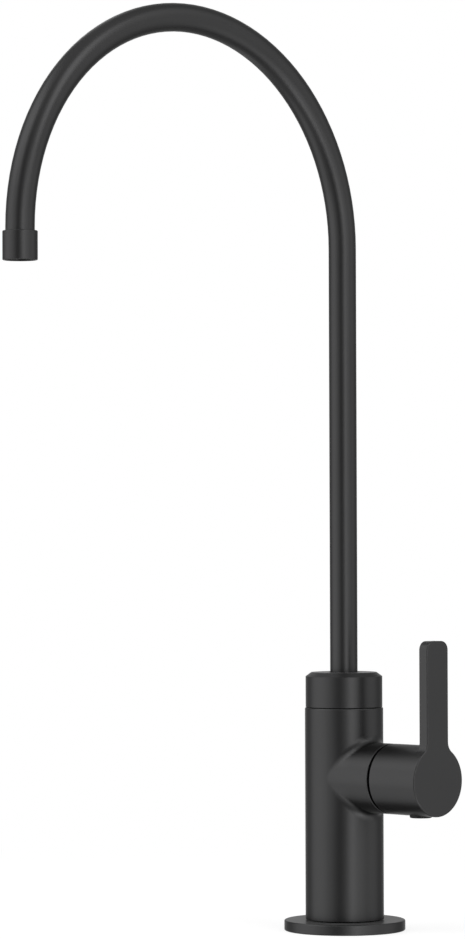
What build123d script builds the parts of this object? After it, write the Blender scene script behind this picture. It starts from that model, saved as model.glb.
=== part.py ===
# Drinking water tap: an upright barrel with a tall swivelling gooseneck and a
# quarter-turn side lever, clamped through a hole in the deck.
# Millimetres. +Z is up and the deck is the plane z = 0. The barrel's axis is
# the Z axis, the spout points to -Y, and the lever's branch to +X.

import math
import os

from build123d import *

# Fits and clearances
running_gap = 0.05  # radial, between pieces that turn in one another
fixed_gap = 0.03  # radial, between pieces that are screwed or brazed together
face_gap = 0.05  # between flat faces that slide on each other
seal_gap = 0.05  # between an O-ring and the walls round it
pass_gap = 0.3  # radial, round a piece that passes through unguided
overrun = 1.0  # how far a cut runs past the face that it opens

# Base flange and its gasket
flange_diameter = 44.5
flange_thickness = 3.85
flange_edge_round = 0.5
gasket_inset = 5.7  # from the flange's rim to the middle of the gasket
gasket_width = 3.2
gasket_thickness = 1.5

# Mounting shank and water inlet
shank_diameter = 14.0
shank_bore_diameter = 6.8
shank_engagement = 12.0  # how deep it is screwed into the barrel
shank_drop = 48.0  # threaded length below the deck plane
inlet_diameter = 11.1
inlet_length = 14.0
inlet_chamfer = 0.8
shank_seal_thickness = 1.2
shank_seal_width = 2.6

# Barrel
barrel_diameter = 28.8
barrel_top_height = 81.8  # the seam below the collar, above the deck
barrel_foot_break = 0.4
barrel_top_break = 0.5
neck_diameter = 22.8
neck_height = 8.3
socket_diameter = 16.0
socket_depth = 20.0

# Side branch
branch_diameter = 25.6
branch_shelf = 9.0  # plain barrel between the branch's blend and the seam
branch_reach = 23.8  # from the barrel's axis to the branch's end face
branch_flare_start = 14.0  # the branch widens slowly from here towards the barrel's axis
branch_flare_foot = 3.4  # and ends here, inside the barrel
branch_flare_radius = 53.0  # of the concave arc between the two
branch_blend = 3.5  # concave radius where the branch meets the barrel
branch_edge_break = 0.25
branch_bore_diameter = 17.2
seat_distance = 5.0  # from the barrel's axis to the valve seat
seat_port_diameter = 6.0
outlet_passage_diameter = 3.8
outlet_passage_offset = 6.0

# Collar nut
collar_diameter = 28.25
collar_chamfer_width = 2.05
collar_chamfer_height = 1.5
collar_lip_thickness = 1.32
collar_foot_break = 0.25

# Swivel: the spout's stub, its seals and glide rings
stub_bore_diameter = 6.4
stub_end_gap = 0.6
stub_chamfer = 0.5
shoulder_diameter = 18.8
shoulder_thickness = 1.6
glide_ring_diameter = 20.4
lower_ring_thickness = 0.8
upper_ring_thickness = 0.8
ring_lip_wall = 0.6
ring_lip_recess = 0.25  # the lip ends this far below the collar's top
swivel_seal_section = 1.8
swivel_seal_inset = 3.0  # from the stub's foot to the lower seal's middle
swivel_seal_spacing = 5.5

# Spout
tube_diameter = 10.1
tube_wall = 1.0
tube_engagement = 10.0  # how deep it is brazed into the stub
arch_radius = 78.3
arch_centre_height = 250.6
nozzle_drop = 1.2  # straight tube between the arch and the sleeve

# Aerator
sleeve_diameter = 12.1
sleeve_length = 10.1
sleeve_edge_round = 0.35
sleeve_tube_overlap = 4.6
sleeve_bore_diameter = 10.7
aerator_washer_thickness = 0.7
aerator_washer_width = 1.3
aerator_body_height = 3.6
aerator_body_wall = 0.7
aerator_ledge_width = 0.6
aerator_ledge_thickness = 0.5
key_slot_width = 1.4
key_slot_depth = 0.8
key_slots = 4
straightener_thickness = 2.2
straightener_hole_diameter = 0.85
straightener_hole_pitch = 1.15
screen_thickness = 0.3
screen_hole_diameter = 0.6
screen_hole_pitch = 0.95

# Valve headwork, placed by distances from the barrel's axis along the branch
seat_seal_thickness = 1.2
seat_seal_diameter = 13.4
disc_diameter = 12.8
disc_core_diameter = 3.4
disc_port_inset = 0.9
disc_thickness = 2.2
disc_port_span = 78.0
disc_half_turn = 180.0
driver_thickness = 1.5
driver_bar_width = 3.0
driver_bar_depth = 1.0
chamber_wall = 1.1
chamber_end_wall = 1.4
chamber_setback = 0.2  # the housing ends this far behind the seat seal
window_width = 5.0
cartridge_seal_section = 1.3
cartridge_seal_inset = 1.0
cartridge_flange_diameter = 19.2
cartridge_flange_thickness = 1.2
cartridge_hex_flats = 15.0
cartridge_hex_length = 3.1
hex_sides = 6
spindle_diameter = 8.0
spindle_seal_section = 1.2
spindle_seal_inset = 2.4
spindle_seal_spacing = 3.6
lug_diameter = 11.6
lug_thickness = 1.5
lug_span = 60.0
lug_end_play = 1.0  # degrees at each end of the quarter turn
quarter_turn = 90.0
clip_thickness = 0.7
clip_outer_diameter = 10.6
clip_groove_diameter = 6.6
clip_opening = 70.0
spline_start_gap = 0.7  # from the clip to the splines
spline_teeth = 20
spline_depth = 0.4

# Handle
handle_gap = 1.05  # between the branch's end and the hub
hub_length = 22.45
hub_recess_depth = 6.2
hub_front_wall = 4.3
spindle_end_gap = 0.5
lever_width = 11.06
lever_thickness = 3.95
lever_height = 50.45  # from the hub's axis to the lever's top
lever_corner_radius = 3.2
lever_root_radius = 4.6
handle_edge_round = 0.55
handle_rear_break = 0.25
handle_ring_width = 1.0
set_screw_diameter = 4.0
set_screw_length = 6.0
set_screw_socket_flats = 2.0
set_screw_socket_depth = 2.4
set_screw_distance = 8.7  # behind the hub's front face
plug_diameter = 8.0
plug_depth = 2.5
plug_stand_out = 0.6
plug_edge_round = 0.4

# Clamp under the deck
deck_thickness = 20.0
deck_washer_diameter = 32.0
deck_washer_thickness = 2.5
support_washer_diameter = 28.0
support_washer_thickness = 1.5
nut_flats = 22.0
nut_height = 8.0
nut_chamfer = 0.8

# Worked out from the sizes above
tube_radius = tube_diameter / 2
barrel_radius = barrel_diameter / 2
gasket_mean_radius = flange_diameter / 2 - gasket_inset
branch_radius = branch_diameter / 2
branch_axis_height = barrel_top_height - branch_shelf - branch_blend - branch_radius
socket_radius = socket_diameter / 2
stub_radius = socket_radius - running_gap
shank_radius = shank_diameter / 2
shank_top = flange_thickness + shank_engagement
shank_bottom = -shank_drop
neck_top = barrel_top_height + neck_height
socket_floor = neck_top - socket_depth
shoulder_low = neck_top + lower_ring_thickness + face_gap
shoulder_high = shoulder_low + shoulder_thickness
upper_ring_low = shoulder_high + face_gap
collar_lip_low = upper_ring_low + upper_ring_thickness
collar_top = collar_lip_low + collar_lip_thickness
ring_lip_inner = tube_radius + running_gap
ring_lip_outer = ring_lip_inner + ring_lip_wall
tube_foot = shoulder_high - tube_engagement
sleeve_top = arch_centre_height - nozzle_drop
sleeve_foot = sleeve_top - sleeve_length
tube_end = sleeve_top - sleeve_tube_overlap
aerator_washer_low = tube_end - aerator_washer_thickness
aerator_radius = sleeve_bore_diameter / 2 - fixed_gap
aerator_foot = aerator_washer_low - aerator_body_height
insert_radius = aerator_radius - aerator_body_wall - fixed_gap
nozzle_place = Pos(0, -2 * arch_radius, 0)

fixed_disc_low = seat_distance + seat_seal_thickness
moving_disc_low = fixed_disc_low + disc_thickness + face_gap
moving_disc_high = moving_disc_low + disc_thickness
driver_low = moving_disc_high + face_gap
driver_high = driver_low + driver_thickness
chamber_end = driver_high + face_gap
chamber_radius = disc_diameter / 2 + running_gap
housing_nose_radius = chamber_radius + chamber_wall
housing_start = fixed_disc_low + chamber_setback
housing_thread_start = chamber_end + chamber_end_wall
housing_thread_radius = branch_bore_diameter / 2 - fixed_gap
housing_hex_start = branch_reach + cartridge_flange_thickness
housing_end = housing_hex_start + cartridge_hex_length
spindle_radius = spindle_diameter / 2
spindle_shaft_radius = spindle_radius - running_gap
lug_low = housing_end - lug_thickness
clip_low = housing_end + face_gap
spline_start = clip_low + clip_thickness + spline_start_gap
hub_start = branch_reach + handle_gap
hub_front = hub_start + hub_length
spline_bore_end = hub_front - hub_front_wall
spindle_end = spline_bore_end - spindle_end_gap
hub_recess_radius = cartridge_flange_diameter / 2 + pass_gap
set_screw_place = hub_front - set_screw_distance
hub_underside = branch_axis_height - branch_radius
set_screw_top = branch_axis_height - spindle_radius - face_gap
clamp_top = -deck_thickness
support_washer_top = clamp_top - deck_washer_thickness
nut_top = support_washer_top - support_washer_thickness - face_gap


def turned(points):
    # a solid of revolution about Z from (radius, height) corners
    corners = [(radius, 0, height) for radius, height in points]
    return revolve(make_face(Polyline(*corners, close=True)), Axis.Z)


def ring(inner, outer, low, high):
    return turned([(inner, low), (outer, low), (outer, high), (inner, high)])


def rod(radius, low, high):
    return turned([(0, low), (radius, low), (radius, high), (0, high)])


def wedge(inner, outer, low, high, centre_angle, span):
    # a slice of a ring, span degrees wide about centre_angle
    corners = [(inner, 0, low), (outer, 0, low), (outer, 0, high), (inner, 0, high)]
    slice_face = make_face(Polyline(*corners, close=True))
    slice_solid = revolve(slice_face, Axis.Z, revolution_arc=span)
    return Rot(0, 0, centre_angle - span / 2) * slice_solid


def hex_prism(flats, low, high):
    outline = RegularPolygon(flats / 2, hex_sides, major_radius=False)
    return Pos(0, 0, low) * extrude(outline, high - low)


def o_ring(outer, section, height):
    # a ring of round section that reaches the radius outer
    return Pos(0, 0, height) * Torus(outer - section / 2, section / 2)


def o_ring_groove(wall, section, height):
    # the groove for an o_ring that seals against a wall of radius wall
    floor = wall - section - 2 * seal_gap
    half_width = section / 2 + seal_gap
    return ring(floor, wall + overrun, height - half_width, height + half_width)


def along_branch(solid):
    # lays a solid that was made about Z along the branch's axis
    return Pos(0, 0, branch_axis_height) * Rot(0, 90, 0) * solid


def hole_grid(radius, hole_diameter, pitch, low, high):
    # holes on a triangular grid that keep one web inside the given radius
    holes = []
    row_pitch = pitch * math.sqrt(3) / 2
    keep = radius - pitch / 2
    rows = math.floor(keep / row_pitch)
    columns = math.ceil(keep / pitch)
    for row in range(-rows, rows + 1):
        for column in range(-columns, columns + 1):
            across = (column + (row % 2) / 2) * pitch
            up = row * row_pitch
            if math.hypot(across, up) + hole_diameter / 2 <= keep:
                holes.append(Pos(across, up, 0) * rod(hole_diameter / 2, low, high))
    return holes


def spline_outline(outer):
    # a star of triangular teeth between the tip radius outer and the roots
    points = []
    for step in range(2 * spline_teeth):
        radius = outer - spline_depth * (step % 2)
        angle = math.pi * step / spline_teeth
        points.append((radius * math.cos(angle), radius * math.sin(angle)))
    return make_face(Polyline(*points, close=True))


def make_base_flange():
    plate = ring(shank_radius + pass_gap, flange_diameter / 2, 0, flange_thickness)
    rims = plate.edges().filter_by(GeomType.CIRCLE).sort_by(lambda edge: edge.radius)
    plate = fillet(rims[-2:], flange_edge_round)
    reach = gasket_width / 2 + fixed_gap
    inner = gasket_mean_radius - reach
    outer = gasket_mean_radius + reach
    return plate - ring(inner, outer, -overrun, gasket_thickness)


def make_base_gasket():
    inner = gasket_mean_radius - gasket_width / 2
    outer = gasket_mean_radius + gasket_width / 2
    return ring(inner, outer, 0, gasket_thickness)


def make_mounting_shank():
    inlet_radius = inlet_diameter / 2
    inlet_foot = shank_bottom - inlet_length
    outside = turned(
        [
            (0, inlet_foot),
            (inlet_radius - inlet_chamfer, inlet_foot),
            (inlet_radius, inlet_foot + inlet_chamfer),
            (inlet_radius, shank_bottom),
            (shank_radius - inlet_chamfer, shank_bottom),
            (shank_radius, shank_bottom + inlet_chamfer),
            (shank_radius, shank_top),
            (0, shank_top),
        ]
    )
    return outside - rod(shank_bore_diameter / 2, inlet_foot - overrun, shank_top + overrun)


def make_shank_seal():
    inner = shank_radius - shank_seal_width
    return ring(inner, shank_radius, shank_top, shank_top + shank_seal_thickness)


def flared_branch():
    # the branch's outside about Z, with its foot inside the barrel
    length = branch_flare_start - branch_flare_foot
    widening = branch_flare_radius - math.sqrt(branch_flare_radius**2 - length**2)
    foot = (branch_radius + widening, branch_flare_foot)
    start = (branch_radius, branch_flare_start)
    flare = RadiusArc(foot, start, branch_flare_radius)
    end_corners = [(branch_radius, branch_reach), (0, branch_reach), (0, branch_flare_foot)]
    rest = Polyline(start, *end_corners, foot)
    return revolve(Plane.XZ * make_face(flare + rest), Axis.Z)


def make_body():
    barrel = rod(barrel_radius, flange_thickness, barrel_top_height)
    outside = barrel + along_branch(flared_branch())
    round_edges = outside.edges().filter_by(GeomType.CIRCLE)
    straight_edges = outside.edges().filter_by(GeomType.LINE)
    saddle = outside.edges() - round_edges - straight_edges
    outside = fillet(saddle, branch_blend)
    circles = outside.edges().filter_by(GeomType.CIRCLE).sort_by(Axis.Z)
    outside = chamfer(circles[0], barrel_foot_break)
    circles = outside.edges().filter_by(GeomType.CIRCLE).sort_by(Axis.Z)
    outside = fillet(circles[-1], barrel_top_break)
    end_rim = outside.edges().filter_by(GeomType.CIRCLE).sort_by(Axis.X)
    outside = fillet(end_rim[-1], branch_edge_break)
    neck = rod(neck_diameter / 2, barrel_top_height, neck_top)
    solid = outside + neck
    socket_top = shank_top + shank_seal_thickness
    solid -= rod(shank_radius + fixed_gap, flange_thickness - overrun, socket_top)
    passage_radius = shank_bore_diameter / 2
    solid -= rod(passage_radius, flange_thickness, branch_axis_height + passage_radius)
    solid -= along_branch(rod(seat_port_diameter / 2, 0, seat_distance + overrun))
    bore_radius = branch_bore_diameter / 2
    solid -= along_branch(rod(bore_radius, seat_distance, branch_reach + overrun))
    outlet_radius = outlet_passage_diameter / 2
    roof = branch_axis_height + math.sqrt(bore_radius**2 - outlet_radius**2)
    outlet_low = roof - outlet_radius / 2
    outlet = rod(outlet_radius, outlet_low, socket_floor + overrun)
    solid -= Pos(outlet_passage_offset, 0, 0) * outlet
    return solid - rod(socket_radius, socket_floor, neck_top + overrun)


def make_collar_nut():
    outer = collar_diameter / 2
    thread = neck_diameter / 2 + fixed_gap
    hole = ring_lip_outer + fixed_gap
    return turned(
        [
            (thread, barrel_top_height),
            (outer - collar_foot_break, barrel_top_height),
            (outer, barrel_top_height + collar_foot_break),
            (outer, collar_top - collar_chamfer_height),
            (outer - collar_chamfer_width, collar_top),
            (hole, collar_top),
            (hole, collar_lip_low),
            (thread, collar_lip_low),
        ]
    )


def make_lower_glide_ring():
    high = neck_top + lower_ring_thickness
    return ring(socket_radius, glide_ring_diameter / 2, neck_top, high)


def make_upper_glide_ring():
    lip_high = collar_top - ring_lip_recess
    return turned(
        [
            (ring_lip_inner, upper_ring_low),
            (glide_ring_diameter / 2, upper_ring_low),
            (glide_ring_diameter / 2, collar_lip_low),
            (ring_lip_outer, collar_lip_low),
            (ring_lip_outer, lip_high),
            (ring_lip_inner, lip_high),
        ]
    )


def swivel_seal_height(number):
    foot = socket_floor + stub_end_gap
    return foot + swivel_seal_inset + number * swivel_seal_spacing


def make_swivel_stub():
    foot = socket_floor + stub_end_gap
    solid = turned(
        [
            (0, foot),
            (stub_radius - stub_chamfer, foot),
            (stub_radius, foot + stub_chamfer),
            (stub_radius, shoulder_low),
            (shoulder_diameter / 2, shoulder_low),
            (shoulder_diameter / 2, shoulder_high),
            (0, shoulder_high),
        ]
    )
    solid -= rod(stub_bore_diameter / 2, foot - overrun, shoulder_high)
    solid -= rod(tube_radius + fixed_gap, tube_foot, shoulder_high + overrun)
    for number in range(2):
        height = swivel_seal_height(number)
        solid -= o_ring_groove(socket_radius, swivel_seal_section, height)
    return solid


def make_swivel_seal(number):
    reach = socket_radius - seal_gap
    return o_ring(reach, swivel_seal_section, swivel_seal_height(number))


def make_spout_tube():
    riser = Line((0, 0, tube_foot), (0, 0, arch_centre_height))
    arch_top = (0, -arch_radius, arch_centre_height + arch_radius)
    arch_end = (0, -2 * arch_radius, arch_centre_height)
    arch = ThreePointArc((0, 0, arch_centre_height), arch_top, arch_end)
    drop = Line(arch_end, (0, -2 * arch_radius, tube_end))
    path = Wire([riser, arch, drop])
    start = Plane(origin=(0, 0, tube_foot), z_dir=(0, 0, 1))
    outside = sweep(start * Circle(tube_radius), path)
    inside = sweep(start * Circle(tube_radius - tube_wall), path)
    return outside - inside


def make_aerator_sleeve():
    outer = sleeve_diameter / 2
    solid = rod(outer, sleeve_foot, sleeve_top)
    rims = solid.edges().filter_by(GeomType.CIRCLE)
    solid = fillet(rims, sleeve_edge_round)
    solid -= rod(tube_radius + fixed_gap, sleeve_foot, sleeve_top + overrun)
    solid -= rod(sleeve_bore_diameter / 2, sleeve_foot - overrun, tube_end)
    return nozzle_place * solid


def make_aerator_washer():
    outer = aerator_radius
    inner = outer - aerator_washer_width
    return nozzle_place * ring(inner, outer, aerator_washer_low, tube_end)


def make_aerator_body():
    inner = aerator_radius - aerator_body_wall
    solid = ring(inner, aerator_radius, aerator_foot, aerator_washer_low)
    ledge_high = aerator_foot + aerator_ledge_thickness
    solid += ring(inner - aerator_ledge_width, aerator_radius, aerator_foot, ledge_high)
    slot_length = aerator_body_wall + overrun
    slot = Box(slot_length, key_slot_width, 2 * key_slot_depth)
    reach = aerator_radius + overrun - slot_length / 2
    for number in range(key_slots):
        turn = Rot(0, 0, 360 * number / key_slots)
        solid -= turn * Pos(reach, 0, aerator_foot) * slot
    return nozzle_place * solid


def make_flow_straightener():
    low = aerator_foot + aerator_ledge_thickness
    high = low + straightener_thickness
    plate = rod(insert_radius, low, high)
    holes = hole_grid(
        insert_radius, straightener_hole_diameter, straightener_hole_pitch, low, high
    )
    return nozzle_place * (plate - holes)


def make_aerator_screen():
    low = aerator_foot + aerator_ledge_thickness + straightener_thickness
    high = low + screen_thickness
    plate = rod(insert_radius, low, high)
    holes = hole_grid(insert_radius, screen_hole_diameter, screen_hole_pitch, low, high)
    return nozzle_place * (plate - holes)


def make_seat_seal():
    inner = seat_port_diameter / 2
    solid = ring(inner, seat_seal_diameter / 2, seat_distance, fixed_disc_low)
    return along_branch(solid)


def disc_ports(outer, low, high, first_angle):
    inner = disc_core_diameter / 2
    angles = (first_angle, first_angle + disc_half_turn)
    return [wedge(inner, outer, low, high, angle, disc_port_span) for angle in angles]


def make_fixed_disc():
    outer = disc_diameter / 2
    high = fixed_disc_low + disc_thickness
    solid = rod(outer, fixed_disc_low, high)
    low_cut = fixed_disc_low - overrun
    solid -= disc_ports(outer - disc_port_inset, low_cut, high + overrun, 0)
    return along_branch(solid)


def make_moving_disc():
    outer = disc_diameter / 2
    solid = rod(outer, moving_disc_low, moving_disc_high)
    low_cut = moving_disc_low - overrun
    high_cut = moving_disc_high + overrun
    solid -= disc_ports(outer + overrun, low_cut, high_cut, quarter_turn)
    slot = Box(2 * outer, driver_bar_width + 2 * fixed_gap, 2 * driver_bar_depth)
    return along_branch(solid - Pos(0, 0, moving_disc_high) * slot)


def make_cartridge_housing():
    nose = rod(housing_nose_radius, housing_start, housing_thread_start)
    thread = rod(housing_thread_radius, housing_thread_start, branch_reach)
    flange = rod(cartridge_flange_diameter / 2, branch_reach, housing_hex_start)
    solid = nose + thread + flange
    solid += hex_prism(cartridge_hex_flats, housing_hex_start, housing_end)
    solid -= rod(chamber_radius, housing_start - overrun, chamber_end)
    solid -= rod(spindle_radius, chamber_end, housing_end + overrun)
    window_length = driver_low - moving_disc_low
    window = Box(2 * housing_nose_radius + overrun, window_width, window_length)
    solid -= Pos(0, 0, (driver_low + moving_disc_low) / 2) * window
    seal_wall = branch_bore_diameter / 2
    solid -= o_ring_groove(seal_wall, cartridge_seal_section, cartridge_seal_height())
    pocket_radius = lug_diameter / 2 + running_gap
    pocket_low = lug_low - face_gap
    span = lug_span + quarter_turn + 2 * lug_end_play
    pocket = wedge(
        0, pocket_radius, pocket_low, housing_end + overrun, quarter_turn / 2, span
    )
    return along_branch(solid - pocket)


def cartridge_seal_height():
    return housing_thread_start + cartridge_seal_inset + cartridge_seal_section / 2


def make_cartridge_seal():
    reach = branch_bore_diameter / 2 - seal_gap
    return along_branch(o_ring(reach, cartridge_seal_section, cartridge_seal_height()))


def spindle_seal_height(number):
    return chamber_end + spindle_seal_inset + number * spindle_seal_spacing


def make_spindle():
    driver = rod(disc_diameter / 2 - pass_gap, driver_low, driver_high)
    bar_low = moving_disc_high - driver_bar_depth + fixed_gap
    bar = Box(disc_diameter - 2 * pass_gap, driver_bar_width, driver_high - bar_low)
    shaft = rod(spindle_shaft_radius, driver_low, clip_low)
    solid = driver + Pos(0, 0, (driver_high + bar_low) / 2) * bar + shaft
    solid += wedge(0, lug_diameter / 2, lug_low, housing_end - face_gap, 0, lug_span)
    clip_high = clip_low + clip_thickness + face_gap
    solid += rod(clip_groove_diameter / 2, clip_low, clip_high)
    solid += rod(spindle_shaft_radius, clip_high, spline_start)
    splines = extrude(spline_outline(spindle_shaft_radius), spindle_end - spline_start)
    solid += Pos(0, 0, spline_start) * splines
    for number in range(2):
        height = spindle_seal_height(number)
        solid -= o_ring_groove(spindle_radius, spindle_seal_section, height)
    return along_branch(solid)


def make_spindle_seal(number):
    reach = spindle_radius - seal_gap
    return along_branch(o_ring(reach, spindle_seal_section, spindle_seal_height(number)))


def make_spindle_clip():
    inner = clip_groove_diameter / 2 + fixed_gap
    outer = clip_outer_diameter / 2
    solid = ring(inner, outer, clip_low, clip_low + clip_thickness)
    low = clip_low - overrun
    high = clip_low + clip_thickness + overrun
    opening = wedge(0, outer + overrun, low, high, quarter_turn, clip_opening)
    return along_branch(solid - opening)


def make_handle_glide_ring():
    inner = hub_recess_radius
    outer = inner + handle_ring_width
    high = branch_reach + handle_gap - face_gap
    return along_branch(ring(inner, outer, branch_reach, high))


def lever_outline():
    # the hub's front face with the lever, in the plane of the lever
    disc = Circle(branch_radius)
    bar = Pos(0, lever_height / 2) * Rectangle(lever_width, lever_height)
    outline = disc + bar
    corners = outline.vertices().sort_by(Axis.Y)
    outline = fillet(corners[-2:], lever_corner_radius)
    root_height = math.sqrt(branch_radius**2 - (lever_width / 2) ** 2)
    root_corners = outline.vertices().filter_by(
        lambda corner: abs(corner.Y - root_height) < handle_edge_round
    )
    return fillet(root_corners, lever_root_radius)


def make_handle():
    # the outline's own up direction becomes +Z and its normal +X
    front_plane = Plane(
        origin=(hub_front - lever_thickness, 0, branch_axis_height),
        x_dir=(0, 1, 0),
        z_dir=(1, 0, 0),
    )
    blade = extrude(front_plane * lever_outline(), lever_thickness)
    solid = blade + along_branch(rod(branch_radius, hub_start, hub_front))
    front_rim = solid.faces().sort_by(Axis.X)[-1].outer_wire().edges()
    solid = fillet(front_rim, handle_edge_round)
    rear_rim = solid.faces().sort_by(Axis.X)[0].outer_wire().edges()
    solid = chamfer(rear_rim, handle_rear_break)
    solid -= along_branch(rod(hub_recess_radius, hub_start - overrun, recess_end()))
    splines = extrude(
        spline_outline(spindle_radius), spline_bore_end - recess_end() + overrun
    )
    solid -= along_branch(Pos(0, 0, recess_end() - overrun) * splines)
    screw_hole = rod(
        set_screw_diameter / 2, hub_underside - overrun, branch_axis_height
    )
    solid -= Pos(set_screw_place, 0, 0) * screw_hole
    plug_hole = rod(
        plug_diameter / 2 + fixed_gap, hub_underside - overrun, hub_underside + plug_depth
    )
    return solid - Pos(set_screw_place, 0, 0) * plug_hole


def recess_end():
    return hub_start + hub_recess_depth


def make_set_screw():
    low = set_screw_top - set_screw_length
    solid = rod(set_screw_diameter / 2 - fixed_gap, low, set_screw_top)
    socket_end = low + set_screw_socket_depth
    solid -= hex_prism(set_screw_socket_flats, low - overrun, socket_end)
    return Pos(set_screw_place, 0, 0) * solid


def make_screw_plug():
    low = hub_underside - plug_stand_out
    high = min(hub_underside + plug_depth, set_screw_top - set_screw_length)
    solid = rod(plug_diameter / 2, low, high)
    foot_rim = solid.edges().filter_by(GeomType.CIRCLE).sort_by(Axis.Z)[0]
    return Pos(set_screw_place, 0, 0) * fillet(foot_rim, plug_edge_round)


def make_deck_washer():
    inner = shank_radius + pass_gap
    return ring(inner, deck_washer_diameter / 2, support_washer_top, clamp_top)


def make_support_washer():
    inner = shank_radius + pass_gap
    low = support_washer_top - support_washer_thickness
    return ring(inner, support_washer_diameter / 2, low, support_washer_top)


def make_lock_nut():
    low = nut_top - nut_height
    solid = hex_prism(nut_flats, low, nut_top)
    corner = nut_flats / math.sqrt(3)
    cone = turned(
        [
            (0, low),
            (corner - nut_chamfer, low),
            (corner, low + nut_chamfer / 2),
            (corner, nut_top - nut_chamfer / 2),
            (corner - nut_chamfer, nut_top),
            (0, nut_top),
        ]
    )
    return (solid & cone) - rod(shank_radius + running_gap, low - overrun, nut_top + overrun)


pieces = {
    "base_flange": make_base_flange(),
    "base_gasket": make_base_gasket(),
    "mounting_shank": make_mounting_shank(),
    "shank_seal": make_shank_seal(),
    "body": make_body(),
    "collar_nut": make_collar_nut(),
    "lower_glide_ring": make_lower_glide_ring(),
    "upper_glide_ring": make_upper_glide_ring(),
    "swivel_stub": make_swivel_stub(),
    "swivel_seal_lower": make_swivel_seal(0),
    "swivel_seal_upper": make_swivel_seal(1),
    "spout_tube": make_spout_tube(),
    "aerator_sleeve": make_aerator_sleeve(),
    "aerator_washer": make_aerator_washer(),
    "aerator_body": make_aerator_body(),
    "flow_straightener": make_flow_straightener(),
    "aerator_screen": make_aerator_screen(),
    "seat_seal": make_seat_seal(),
    "fixed_disc": make_fixed_disc(),
    "moving_disc": make_moving_disc(),
    "cartridge_housing": make_cartridge_housing(),
    "cartridge_seal": make_cartridge_seal(),
    "spindle": make_spindle(),
    "spindle_seal_inner": make_spindle_seal(0),
    "spindle_seal_outer": make_spindle_seal(1),
    "spindle_clip": make_spindle_clip(),
    "handle_glide_ring": make_handle_glide_ring(),
    "handle": make_handle(),
    "set_screw": make_set_screw(),
    "screw_plug": make_screw_plug(),
    "deck_washer": make_deck_washer(),
    "support_washer": make_support_washer(),
    "lock_nut": make_lock_nut(),
}

os.makedirs("parts", exist_ok=True)
for name, piece in pieces.items():
    export_step(piece, f"parts/{name}.step")
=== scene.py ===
import math

import bpy
import numpy as np
from mathutils import Matrix, Vector


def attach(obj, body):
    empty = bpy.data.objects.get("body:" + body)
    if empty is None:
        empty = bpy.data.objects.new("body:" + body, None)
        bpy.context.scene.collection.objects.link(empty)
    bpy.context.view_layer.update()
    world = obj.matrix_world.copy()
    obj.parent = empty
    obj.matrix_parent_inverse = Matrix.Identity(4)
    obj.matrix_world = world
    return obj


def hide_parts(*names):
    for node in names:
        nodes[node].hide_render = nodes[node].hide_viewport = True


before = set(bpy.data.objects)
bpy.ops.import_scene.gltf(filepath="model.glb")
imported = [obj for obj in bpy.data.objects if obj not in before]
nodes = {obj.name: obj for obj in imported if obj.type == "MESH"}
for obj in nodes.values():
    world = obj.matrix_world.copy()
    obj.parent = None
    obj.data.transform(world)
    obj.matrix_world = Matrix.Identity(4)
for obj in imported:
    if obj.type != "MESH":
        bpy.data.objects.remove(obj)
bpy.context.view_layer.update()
scene = bpy.context.scene
mm = 0.001  # the shapes below are worked out in millimetres
print("frame loaded,", len(nodes), "nodes")

camera = {
    "place": (996.296, -1015.237, 147.277),  # millimetres
    "heading": 46.102,  # degrees from +Y towards -X
    "pitch": 0.89204,
    "roll": -0.19448,
    "focal": 147.9757,  # for a long side of 36 mm
}


def makeCamera(setup):
    # looks along its heading, raised by its pitch, and leans by its roll
    heading = math.radians(setup["heading"])
    pitch = math.radians(setup["pitch"])
    roll = math.radians(setup["roll"])
    level = Vector((-math.sin(heading), math.cos(heading), 0))
    right = Vector((math.cos(heading), math.sin(heading), 0))
    up = Vector((0, 0, 1))
    ahead = level * math.cos(pitch) + up * math.sin(pitch)
    above = up * math.cos(pitch) - level * math.sin(pitch)
    side = right * math.cos(roll) + above * math.sin(roll)
    top = above * math.cos(roll) - right * math.sin(roll)
    data = bpy.data.cameras.new("photoCamera")
    data.sensor_width = 36
    data.lens = setup["focal"]
    data.clip_start = 0.05
    data.clip_end = 20
    holder = bpy.data.objects.new("photoCamera", data)
    place = Vector(setup["place"]) * mm
    holder.matrix_world = Matrix((
        (side.x, top.x, -ahead.x, place.x),
        (side.y, top.y, -ahead.y, place.y),
        (side.z, top.z, -ahead.z, place.z),
        (0, 0, 0, 1),
    ))
    scene.collection.objects.link(holder)
    scene.camera = holder


makeCamera(camera)
print("camera set")


class Wire:
    # one value socket; an expression on wires adds the Math nodes it needs
    def __init__(self, recipe, socket):
        self.recipe = recipe
        self.socket = socket

    def joined(self, kind, first, second):
        return self.recipe.add("ShaderNodeMath", {"operation": kind}, {0: first, 1: second}).out()

    def __add__(self, other):
        return self.joined("ADD", self, other)

    def __radd__(self, other):
        return self.joined("ADD", other, self)

    def __sub__(self, other):
        return self.joined("SUBTRACT", self, other)

    def __rsub__(self, other):
        return self.joined("SUBTRACT", other, self)

    def __mul__(self, other):
        return self.joined("MULTIPLY", self, other)

    def __rmul__(self, other):
        return self.joined("MULTIPLY", other, self)

    def orMore(self, other):
        # the larger of the two
        return self.joined("MAXIMUM", self, other)


class Step:
    # one node of a recipe
    def __init__(self, recipe, node):
        self.recipe = recipe
        self.node = node

    def out(self, key=0):
        return Wire(self.recipe, self.node.outputs[key])


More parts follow.
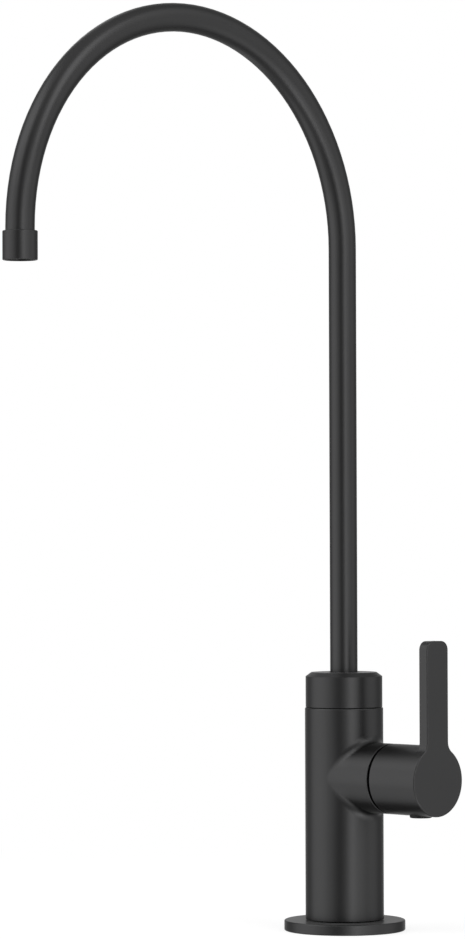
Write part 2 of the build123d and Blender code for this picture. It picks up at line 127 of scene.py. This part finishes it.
class Recipe:
    # the node tree of one finish, or of the world
    def __init__(self, owner):
        owner.use_nodes = True
        self.tree = owner.node_tree
        self.tree.nodes.clear()

    def add(self, kind, settings=None, sockets=None):
        node = self.tree.nodes.new(kind)
        for key, value in (settings or {}).items():
            setattr(node, key, value)
        for key, value in (sockets or {}).items():
            self.feed(node, key, value)
        return Step(self, node)

    def feed(self, node, key, value):
        if isinstance(value, Wire):
            self.tree.links.new(value.socket, node.inputs[key])
        else:
            node.inputs[key].default_value = value

    def stretched(self, place, scale):
        # the coordinates multiplied by one number for each axis
        return self.add("ShaderNodeVectorMath", {"operation": "MULTIPLY"}, {0: place, 1: scale}).out()

    def noise(self, place, scale, detail=2.0, roughness=0.5):
        # scale is in features per metre
        fixed = {"Vector": place, "Scale": scale, "Detail": detail, "Roughness": roughness}
        return self.add("ShaderNodeTexNoise", None, fixed).out("Fac")

    def between(self, mask, dark, light):
        # dark where the mask is 0, light where it is 1
        ends = {0: mask, 6: (*dark, 1), 7: (*light, 1)}
        return self.add("ShaderNodeMix", {"data_type": "RGBA"}, ends).out(2)

    def bumped(self, height, strength, depth):
        # a normal tilted by the height, with its depth in metres
        fixed = {"Height": height, "Strength": strength, "Distance": depth}
        return self.add("ShaderNodeBump", None, fixed).out()


class Finish(Recipe):
    # a material with one Principled shader, read in the object's own coordinates
    def __init__(self, name, fixed):
        self.material = bpy.data.materials.new(name)
        super().__init__(self.material)
        self.shader = self.add("ShaderNodeBsdfPrincipled", None, fixed)
        self.add("ShaderNodeOutputMaterial", None, {"Surface": self.shader.out()})
        self.place = self.add("ShaderNodeTexCoord").out("Object")

    def dress(self, colour, roughness, normal):
        for key, value in (("Base Color", colour), ("Roughness", roughness), ("Normal", normal)):
            self.feed(self.shader.node, key, value)
        return self.material


coatLook = {
    "name": "satinBlackCoat",
    "dark": (0.0268, 0.0268, 0.0271),
    "light": (0.0322, 0.0322, 0.0325),
    "edge": (0.5, 0.5, 0.5, 1),
    "sheen": 0.095,
    "sheenRoughness": 0.3,
    "roughness": 0.36,
    "mottleScale": 38,
    "mottleShare": 0.6,
    "mottleRough": 0.05,
    "grainScale": 2600,
    "grainRough": 0.06,
    "peelScale": 420,
    "peelHeight": 0.8,
    "bump": 0.35,
    "depth": 0.000004,
}


def makeCoat(look):
    # satin black coating on metal: fine grain, a faint orange peel and slow mottling
    finish = Finish(look["name"], {
        "Metallic": 1.0, "Specular Tint": look["edge"],
        "Sheen Weight": look["sheen"], "Sheen Roughness": look["sheenRoughness"],
    })
    grain = finish.noise(finish.place, look["grainScale"], detail=3.0, roughness=0.6)
    peel = finish.noise(finish.place, look["peelScale"])
    mottle = finish.noise(finish.place, look["mottleScale"])
    share = mottle * look["mottleShare"] + grain * (1 - look["mottleShare"])
    colour = finish.between(share, look["dark"], look["light"])
    rough = look["roughness"] + (mottle - 0.5) * look["mottleRough"] + (grain - 0.5) * look["grainRough"]
    height = grain + peel * look["peelHeight"]
    return finish.dress(colour, rough, finish.bumped(height, look["bump"], look["depth"]))


mouldedLooks = {
    "plug": {
        "name": "mattBlackPlug", "dark": (0.005, 0.005, 0.005), "light": (0.008, 0.008, 0.008),
        "roughness": 0.62, "shine": 0.15, "pebbleScale": 3000, "depth": 0.00001,
    },
    "darkGlide": {
        "name": "blackGlidePlastic", "dark": (0.005, 0.005, 0.005), "light": (0.009, 0.009, 0.009),
        "roughness": 0.55, "shine": 0.5, "pebbleScale": 2600, "depth": 0.000008,
    },
    "whiteGlide": {
        "name": "whiteGlidePlastic", "dark": (0.66, 0.66, 0.61), "light": (0.78, 0.78, 0.74),
        "roughness": 0.42, "shine": 0.5, "pebbleScale": 2600, "depth": 0.000006,
    },
    "aerator": {
        "name": "greyAeratorPlastic", "dark": (0.030, 0.031, 0.033), "light": (0.044, 0.045, 0.048),
        "roughness": 0.48, "shine": 0.5, "pebbleScale": 2800, "depth": 0.000008,
    },
    "rubber": {
        "name": "sealRubber", "dark": (0.014, 0.014, 0.014), "light": (0.024, 0.024, 0.024),
        "roughness": 0.72, "shine": 0.5, "pebbleScale": 2200, "depth": 0.00002,
    },
    "ceramic": {
        "name": "lappedCeramic", "dark": (0.80, 0.80, 0.77), "light": (0.88, 0.88, 0.86),
        "roughness": 0.24, "shine": 0.5, "pebbleScale": 5200, "depth": 0.000002,
    },
}
moulding = {"patchSpread": 20, "patchRough": 0.12, "bump": 0.6}


def makeMoulded(look):
    # moulded plastic, rubber or ceramic: a pebbled skin with soft patches of sheen
    finish = Finish(look["name"], {"Metallic": 0.0, "IOR": 1.5, "Specular IOR Level": look["shine"]})
    pebbles = finish.noise(finish.place, look["pebbleScale"], detail=3.0, roughness=0.55)
    patches = finish.noise(finish.place, look["pebbleScale"] / moulding["patchSpread"])
    colour = finish.between((patches + pebbles) * 0.5, look["dark"], look["light"])
    rough = look["roughness"] + (patches - 0.5) * moulding["patchRough"]
    return finish.dress(colour, rough, finish.bumped(pebbles, moulding["bump"], look["depth"]))


brass = {"dark": (0.40, 0.26, 0.10), "light": (0.60, 0.42, 0.18)}
steel = {"dark": (0.28, 0.28, 0.29), "light": (0.44, 0.44, 0.45)}

# lines gives how many tool marks a metre holds along each axis
machinedLooks = {
    "turnedBrass": {"name": "turnedBrass", "metal": brass, "roughness": 0.34, "lines": (60, 60, 5200)},
    "branchBrass": {
        "name": "turnedBranchBrass", "metal": brass, "roughness": 0.34, "lines": (5200, 60, 60),
    },
    "hexBrass": {"name": "drawnHexBrass", "metal": brass, "roughness": 0.36, "lines": (2600, 2600, 90)},
    "steel": {"name": "tumbledSteel", "metal": steel, "roughness": 0.38, "lines": (1400, 1400, 1400)},
}
machining = {
    "stainScale": 160, "stainShare": 0.75, "stainRough": 0.16, "cutRough": 0.08,
    "bump": 0.5, "depth": 0.00001,
}


def makeMachined(look):
    # bare metal: fine tool lines over slow stains, which dull it a little
    metal = look["metal"]
    finish = Finish(look["name"], {"Metallic": 1.0, "IOR": 1.5})
    cut = finish.noise(finish.stretched(finish.place, look["lines"]), 1.0, detail=3.0, roughness=0.6)
    stain = finish.noise(finish.place, machining["stainScale"], detail=4.0, roughness=0.55)
    share = stain * machining["stainShare"] + cut * (1 - machining["stainShare"])
    colour = finish.between(share, metal["dark"], metal["light"])
    dulled = (stain - 0.5) * machining["stainRough"] + (cut - 0.5) * machining["cutRough"]
    bump = finish.bumped(cut, machining["bump"], machining["depth"])
    return finish.dress(colour, look["roughness"] + dulled, bump)


finishes = {"coat": makeCoat(coatLook)}
for finishName, look in mouldedLooks.items():
    finishes[finishName] = makeMoulded(look)
for finishName, look in machinedLooks.items():
    finishes[finishName] = makeMachined(look)

wearers = {
    "coat": ("body", "collar_nut", "base_flange", "spout_tube", "aerator_sleeve", "handle"),
    "plug": ("screw_plug",),
    "darkGlide": ("upper_glide_ring", "handle_glide_ring"),
    "whiteGlide": ("lower_glide_ring",),
    "aerator": ("aerator_body", "flow_straightener"),
    "rubber": (
        "base_gasket", "shank_seal", "swivel_seal_lower", "swivel_seal_upper", "aerator_washer",
        "seat_seal", "cartridge_seal", "spindle_seal_inner", "spindle_seal_outer", "deck_washer",
    ),
    "ceramic": ("fixed_disc", "moving_disc"),
    "turnedBrass": ("swivel_stub", "mounting_shank"),
    "branchBrass": ("cartridge_housing", "spindle"),
    "hexBrass": ("lock_nut",),
    "steel": ("aerator_screen", "spindle_clip", "set_screw", "support_washer"),
}
for finishName, wearerNames in wearers.items():
    for nodeName in wearerNames:
        nodes[nodeName].data.materials.clear()
        nodes[nodeName].data.materials.append(finishes[finishName])
print("finishes on all nodes")


def ringGrid(name, grid, finish):
    # grid[row, column] is a point in millimetres, and both directions wrap round into a closed skin;
    # the sum of a . (b x c + c x d) over its quads is six times its volume, and below zero it is inside out
    rows, columns = grid.shape[:2]
    here = np.arange(rows * columns).reshape(rows, columns)
    nextRow = np.roll(here, -1, axis=0)
    nextColumn = np.roll(here, -1, axis=1)
    across = np.roll(nextRow, -1, axis=1)
    quads = np.stack([here, nextColumn, across, nextRow], axis=-1).reshape(-1, 4)
    points = grid.reshape(-1, 3) * mm
    a, b, c, d = (points[quads[:, side]] for side in range(4))
    volume = np.einsum("ij,ij->", a, np.cross(b, c) + np.cross(c, d))
    if volume < 0:
        quads = quads[:, ::-1]
    mesh = bpy.data.meshes.new(name)
    mesh.from_pydata(points.tolist(), [], quads.tolist())
    mesh.polygons.foreach_set("use_smooth", np.ones(len(quads), bool))
    mesh.materials.append(finish)
    holder = bpy.data.objects.new(name, mesh)
    scene.collection.objects.link(holder)
    return holder


def softProfile(corners, stepAngle=12.0):
    # corners are (radius, height, rounding), a closed loop; each becomes an arc tangent to its two edges,
    # whose centre is on their bisector, the rounding over the sine of half their angle away
    places = np.array([corner[:2] for corner in corners], float)
    loop = []
    for number, (_, _, rounding) in enumerate(corners):
        here = places[number]
        back = places[number - 1] - here
        on = places[(number + 1) % len(places)] - here
        back /= np.linalg.norm(back)
        on /= np.linalg.norm(on)
        half = math.acos(np.clip(back @ on, -1, 1)) / 2
        middle = (back + on) / np.linalg.norm(back + on)
        centre = here + middle * rounding / math.sin(half)
        sweep = math.pi - 2 * half
        steps = max(2, math.ceil(math.degrees(sweep) / stepAngle))
        turn = np.linspace(-sweep / 2, sweep / 2, steps + 1)
        side = np.array([-middle[1], middle[0]])
        side *= math.copysign(1, side @ on)
        arc = np.outer(np.sin(turn), side) - np.outer(np.cos(turn), middle)
        loop.append(centre + rounding * arc)
    return np.concatenate(loop)


def spacedOut(profile, gap):
    # splits every edge of a closed profile into equal steps, none of them longer than gap
    edges = np.roll(profile, -1, axis=0) - profile
    steps = np.maximum(1, np.ceil(np.linalg.norm(edges, axis=1) / gap)).astype(int)
    starts = np.repeat(np.cumsum(steps) - steps, steps)
    share = (np.arange(steps.sum()) - starts) / np.repeat(steps, steps)
    return np.repeat(profile, steps, axis=0) + np.repeat(edges, steps, axis=0) * share[:, None]


def spun(radii, heights, columns):
    # the point at (radius, height) of each row, turned round +Z in equal steps
    angles = np.linspace(0, 2 * math.pi, columns, endpoint=False)
    radii = np.broadcast_to(radii, (len(heights), columns))
    return np.stack([
        radii * np.cos(angles), radii * np.sin(angles),
        np.broadcast_to(heights[:, None], radii.shape),
    ], axis=-1)


thread = {
    "radius": 7.0, "pitch": 1.0, "depth": 0.55, "crest": 0.14,
    "top": 15.0, "foot": -47.0, "runOut": 0.8,
}


def threadDrop(heights, columns):
    # how far the thread's surface lies inside its crest: straight flanks between a flat crest and a flat
    # root, one pitch further up for each turn, fading out towards both ends
    angles = np.linspace(0, 2 * math.pi, columns, endpoint=False)
    phase = heights[:, None] / thread["pitch"] - angles / (2 * math.pi)
    ridge = np.abs(2 * (phase - np.floor(phase)) - 1)
    flank = np.clip((ridge - thread["crest"]) / (1 - 2 * thread["crest"]), 0, 1)
    room = np.minimum(thread["top"] - heights, heights - thread["foot"])
    fade = np.clip(room / thread["runOut"], 0, 1)[:, None]
    return thread["depth"] * (1 - flank) * fade


shank = {
    "radius": 7.0, "top": 15.85, "foot": -48.0, "inlet": 5.55, "inletFoot": -62.0, "bore": 3.4,
    "chamfer": 0.8, "edge": 0.12, "columns": 72, "rowGap": 0.1,
}


def makeShank(size):
    # hollow threaded shank with the plain stub of the water inlet at its end
    inner = size["inlet"]
    profile = softProfile([
        (size["bore"], size["top"], size["edge"]),
        (size["radius"], size["top"], size["edge"]),
        (size["radius"], size["foot"] + size["chamfer"], size["edge"]),
        (size["radius"] - size["chamfer"], size["foot"], size["edge"]),
        (inner, size["foot"], size["edge"]),
        (inner, size["inletFoot"] + size["chamfer"], size["edge"]),
        (inner - size["chamfer"], size["inletFoot"], size["edge"]),
        (size["bore"], size["inletFoot"], size["edge"]),
    ])
    profile = spacedOut(profile, size["rowGap"])
    radii, heights = profile[:, :1], profile[:, 1]
    onThread = radii > size["radius"] - 1e-6
    radii = radii - np.where(onThread, threadDrop(heights, size["columns"]), 0)
    return ringGrid("threadedShank", spun(radii, heights, size["columns"]), finishes["turnedBrass"])


nut = {
    "flats": 22.0, "top": -24.05, "height": 8.0, "faceRadius": 10.5, "chamferSlope": 1.73,
    "cornerCap": 12.6, "threadGap": 0.06, "countersink": 7.35, "columns": 180, "rowGap": 0.1,
}


def makeNut(size):
    # hexagon bar, half its flats over the cosine of the angle from the nearest flat's middle, trimmed by
    # a cone at both faces, with the shank's own thread in its bore
    foot = size["top"] - size["height"]
    heights = np.arange(foot, size["top"] + size["rowGap"] / 2, size["rowGap"])
    fromFace = np.minimum(heights - foot, size["top"] - heights)[:, None]
    angles = np.linspace(0, 2 * math.pi, size["columns"], endpoint=False)
    sixth = math.pi / 3
    hexagon = size["flats"] / 2 / np.cos(angles % sixth - sixth / 2)
    hexagon = np.minimum(hexagon, size["cornerCap"])
    cone = size["faceRadius"] + size["chamferSlope"] * fromFace
    outside = np.minimum(hexagon, cone)
    bore = thread["radius"] + size["threadGap"] - threadDrop(heights, size["columns"])
    bore = np.maximum(bore, size["countersink"] - fromFace)
    radii = np.concatenate([outside, bore[::-1]])
    levels = np.concatenate([heights, heights[::-1]])
    return ringGrid("lockNut", spun(radii, levels, size["columns"]), finishes["hexBrass"])


washerGrid = {"columns": 96, "rowGap": 1.0}
washers = {
    "rubberWasher": {
        "inner": 7.3, "outer": 16.0, "low": -22.5, "high": -20.0, "topEdge": 0.55, "footEdge": 0.55,
        "finish": "rubber", "node": "deck_washer", "slot": "seal_rubber",
    },
    "steelWasher": {
        "inner": 7.3, "outer": 14.0, "low": -24.0, "high": -22.5, "topEdge": 0.4, "footEdge": 0.08,
        "finish": "steel", "node": "support_washer", "slot": "bare_steel",
    },
    "baseSeal": {
        "inner": 14.95, "outer": 18.15, "low": 0.0, "high": 1.5, "topEdge": 0.2, "footEdge": 0.5,
        "finish": "rubber", "node": "base_gasket", "slot": "seal_rubber",
    },
}


def makeWasher(name, size):
    # a flat ring whose edges are rounded, as a moulded or stamped one's are
    profile = softProfile([
        (size["inner"], size["low"], size["footEdge"]),
        (size["outer"], size["low"], size["footEdge"]),
        (size["outer"], size["high"], size["topEdge"]),
        (size["inner"], size["high"], size["topEdge"]),
    ])
    profile = spacedOut(profile, washerGrid["rowGap"])
    skin = spun(profile[:, :1], profile[:, 1], washerGrid["columns"])
    return ringGrid(name, skin, finishes[size["finish"]])


def settle(piece, node, body="base"):
    # the piece stands for a node, on that node's body
    weighted = piece.modifiers.new("evenNormals", "WEIGHTED_NORMAL")
    weighted.weight = 100
    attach(piece, body)
    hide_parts(node)


settle(makeShank(shank), "mounting_shank")
settle(makeNut(nut), "lock_nut")
for washerName, washerSize in washers.items():
    settle(makeWasher(washerName, washerSize), washerSize["node"])
print("shank, nut and washers made")

deck = {
    "reach": 6.0,  # this and the next three are in metres
    "drop": 0.00005,
    "fadeFrom": 0.10,
    "fadeTo": 0.38,
    "colour": (0.26, 0.26, 0.26, 1),
    "lift": 0.80,
}


def seenRays(recipe):
    # 1 for the rays that show a background: from the camera, off shiny things and through clear ones
    rays = recipe.add("ShaderNodeLightPath")
    direct = rays.out("Is Camera Ray").orMore(rays.out("Is Glossy Ray"))
    return direct.orMore(rays.out("Is Transmission Ray"))


def makeFloor(setup):
    # the deck: pale, with the tap's soft shadow, and turning into the background's white further out;
    # from above it hides the clamp, and from below it is clear, so that the clamp can be seen
    mesh = bpy.data.meshes.new("deckPlane")
    far, low = setup["reach"], -setup["drop"]
    corners = [(-far, -far, low), (far, -far, low), (far, far, low), (-far, far, low)]
    mesh.from_pydata(corners, [], [(0, 1, 2, 3)])
    floor = bpy.data.objects.new("deckPlane", mesh)
    scene.collection.objects.link(floor)
    material = bpy.data.materials.new("paleDeck")
    recipe = Recipe(material)
    matt = recipe.add("ShaderNodeBsdfDiffuse", None, {"Color": setup["colour"]})
    seen = seenRays(recipe)
    shine = recipe.add("ShaderNodeEmission", None, {"Strength": seen * setup["lift"]})
    lit = recipe.add("ShaderNodeAddShader", None, {0: matt.out(), 1: shine.out()})
    white = recipe.add("ShaderNodeEmission", None, {"Strength": seen})
    clear = recipe.add("ShaderNodeBsdfTransparent")
    place = recipe.add("ShaderNodeTexCoord").out("Object")
    away = recipe.add("ShaderNodeVectorMath", {"operation": "LENGTH"}, {0: place}).out("Value")
    fade = recipe.add(
        "ShaderNodeMapRange", {"interpolation_type": "SMOOTHSTEP"},
        {"Value": away, "From Min": setup["fadeFrom"], "From Max": setup["fadeTo"]},
    ).out()
    top = recipe.add("ShaderNodeMixShader", None, {0: fade, 1: lit.out(), 2: white.out()})
    behind = recipe.add("ShaderNodeNewGeometry").out("Backfacing")
    either = recipe.add("ShaderNodeMixShader", None, {0: behind, 1: top.out(), 2: clear.out()})
    recipe.add("ShaderNodeOutputMaterial", None, {"Surface": either.out()})
    mesh.materials.append(material)
    # it only catches the shadow, and keeps no light from below off the tap
    floor.visible_glossy = False
    floor.visible_diffuse = False
    floor.visible_shadow = False


def makeWorld(glow):
    # a plain white background, which lights plain colours only a little
    world = bpy.data.worlds.new("studio")
    scene.world = world
    recipe = Recipe(world)
    strength = seenRays(recipe) * (1 - glow) + glow
    sky = recipe.add("ShaderNodeBackground", None, {"Color": (1, 1, 1, 1), "Strength": strength})
    recipe.add("ShaderNodeOutputWorld", None, {"Surface": sky.out()})


studio = {
    "aim": Vector((0, -0.03, 0.17)),  # what the soft boxes face, in metres
    "cameraBearing": 44.463,  # degrees from -Y towards +X
    "boxReach": 1.6,
    "boxHeight": 1.15,
    "topSize": 1.2,
    "topPower": 1.7,
    "glow": 0.15,
}
card = {"bearing": -13, "reach": 1.5, "width": 0.46, "height": 2.4, "grey": 0.2}

# each column of soft boxes has one below, one level with and one above the tap, and narrows up and down;
# bearings are degrees from the camera, rightwards, and powers are watts, from the lowest box up
columns = {
    "left": {"bearing": -83, "width": 1.75, "powers": (6.1, 10.6, 11.3)},
    "leftFront": {"bearing": -44, "width": 0.5, "powers": (0, 1.7, 3.3)},
    "front": {"bearing": 22, "width": 0.5, "powers": (5.1, 5.3, 0)},
    "rightFront": {"bearing": 47, "width": 0.95, "powers": (4.2, 3.7, 8.7)},
    "right": {"bearing": 91, "width": 1.1, "powers": (3.2, 3.2, 3.3)},
    "rear": {"bearing": -160, "width": 0.5, "powers": (3.2, 0, 2.8)},
}
tiers = {"Low": -42, "Level": 0, "High": 42}


def wayOut(bearing, lift):
    # the direction from the tap, turned from the camera's by the bearing and raised by the lift
    around = math.radians(studio["cameraBearing"] + bearing)
    rise = math.radians(lift)
    return Vector((math.sin(around) * math.cos(rise), -math.cos(around) * math.cos(rise), math.sin(rise)))


def makeLamp(name, bearing, lift, size, power):
    # a soft box that faces the tap
    out = wayOut(bearing, lift)
    data = bpy.data.lights.new(name, "AREA")
    data.shape = "RECTANGLE"
    data.size, data.size_y = size
    data.energy = power
    lamp = bpy.data.objects.new(name, data)
    lamp.location = studio["aim"] + out * studio["boxReach"]
    lamp.rotation_euler = (-out).to_track_quat("-Z", "Y").to_euler()
    lamp.visible_camera = False
    scene.collection.objects.link(lamp)


def makeCard(setup):
    # a grey card between two columns of soft boxes: only reflections see it, where it draws the dark stripe
    out = wayOut(setup["bearing"], 0)
    middle = studio["aim"] + out * setup["reach"]
    side = Vector((-out.y, out.x, 0)) * (setup["width"] / 2)
    rise = Vector((0, 0, setup["height"] / 2))
    corners = [middle - side - rise, middle + side - rise, middle + side + rise, middle - side + rise]
    mesh = bpy.data.meshes.new("greyCard")
    mesh.from_pydata(corners, [], [(0, 1, 2, 3)])
    holder = bpy.data.objects.new("greyCard", mesh)
    scene.collection.objects.link(holder)
    material = bpy.data.materials.new("greyCard")
    recipe = Recipe(material)
    grey = recipe.add("ShaderNodeEmission", None, {"Strength": setup["grey"]})
    recipe.add("ShaderNodeOutputMaterial", None, {"Surface": grey.out()})
    mesh.materials.append(material)
    holder.visible_camera = False
    holder.visible_diffuse = False
    holder.visible_transmission = False
    holder.visible_shadow = False


makeFloor(deck)
makeWorld(studio["glow"])
makeCard(card)
for columnName, column in columns.items():
    for (tierName, tierLift), tierPower in zip(tiers.items(), column["powers"]):
        if tierPower:
            boxWidth = column["width"] * math.cos(math.radians(tierLift))
            boxSize = (boxWidth, studio["boxHeight"])
            makeLamp(columnName + tierName, column["bearing"], tierLift, boxSize, tierPower)
makeLamp("top", 0, 89, (studio["topSize"], studio["topSize"]), studio["topPower"])
scene.view_settings.view_transform = "Standard"
print("stage and light set")
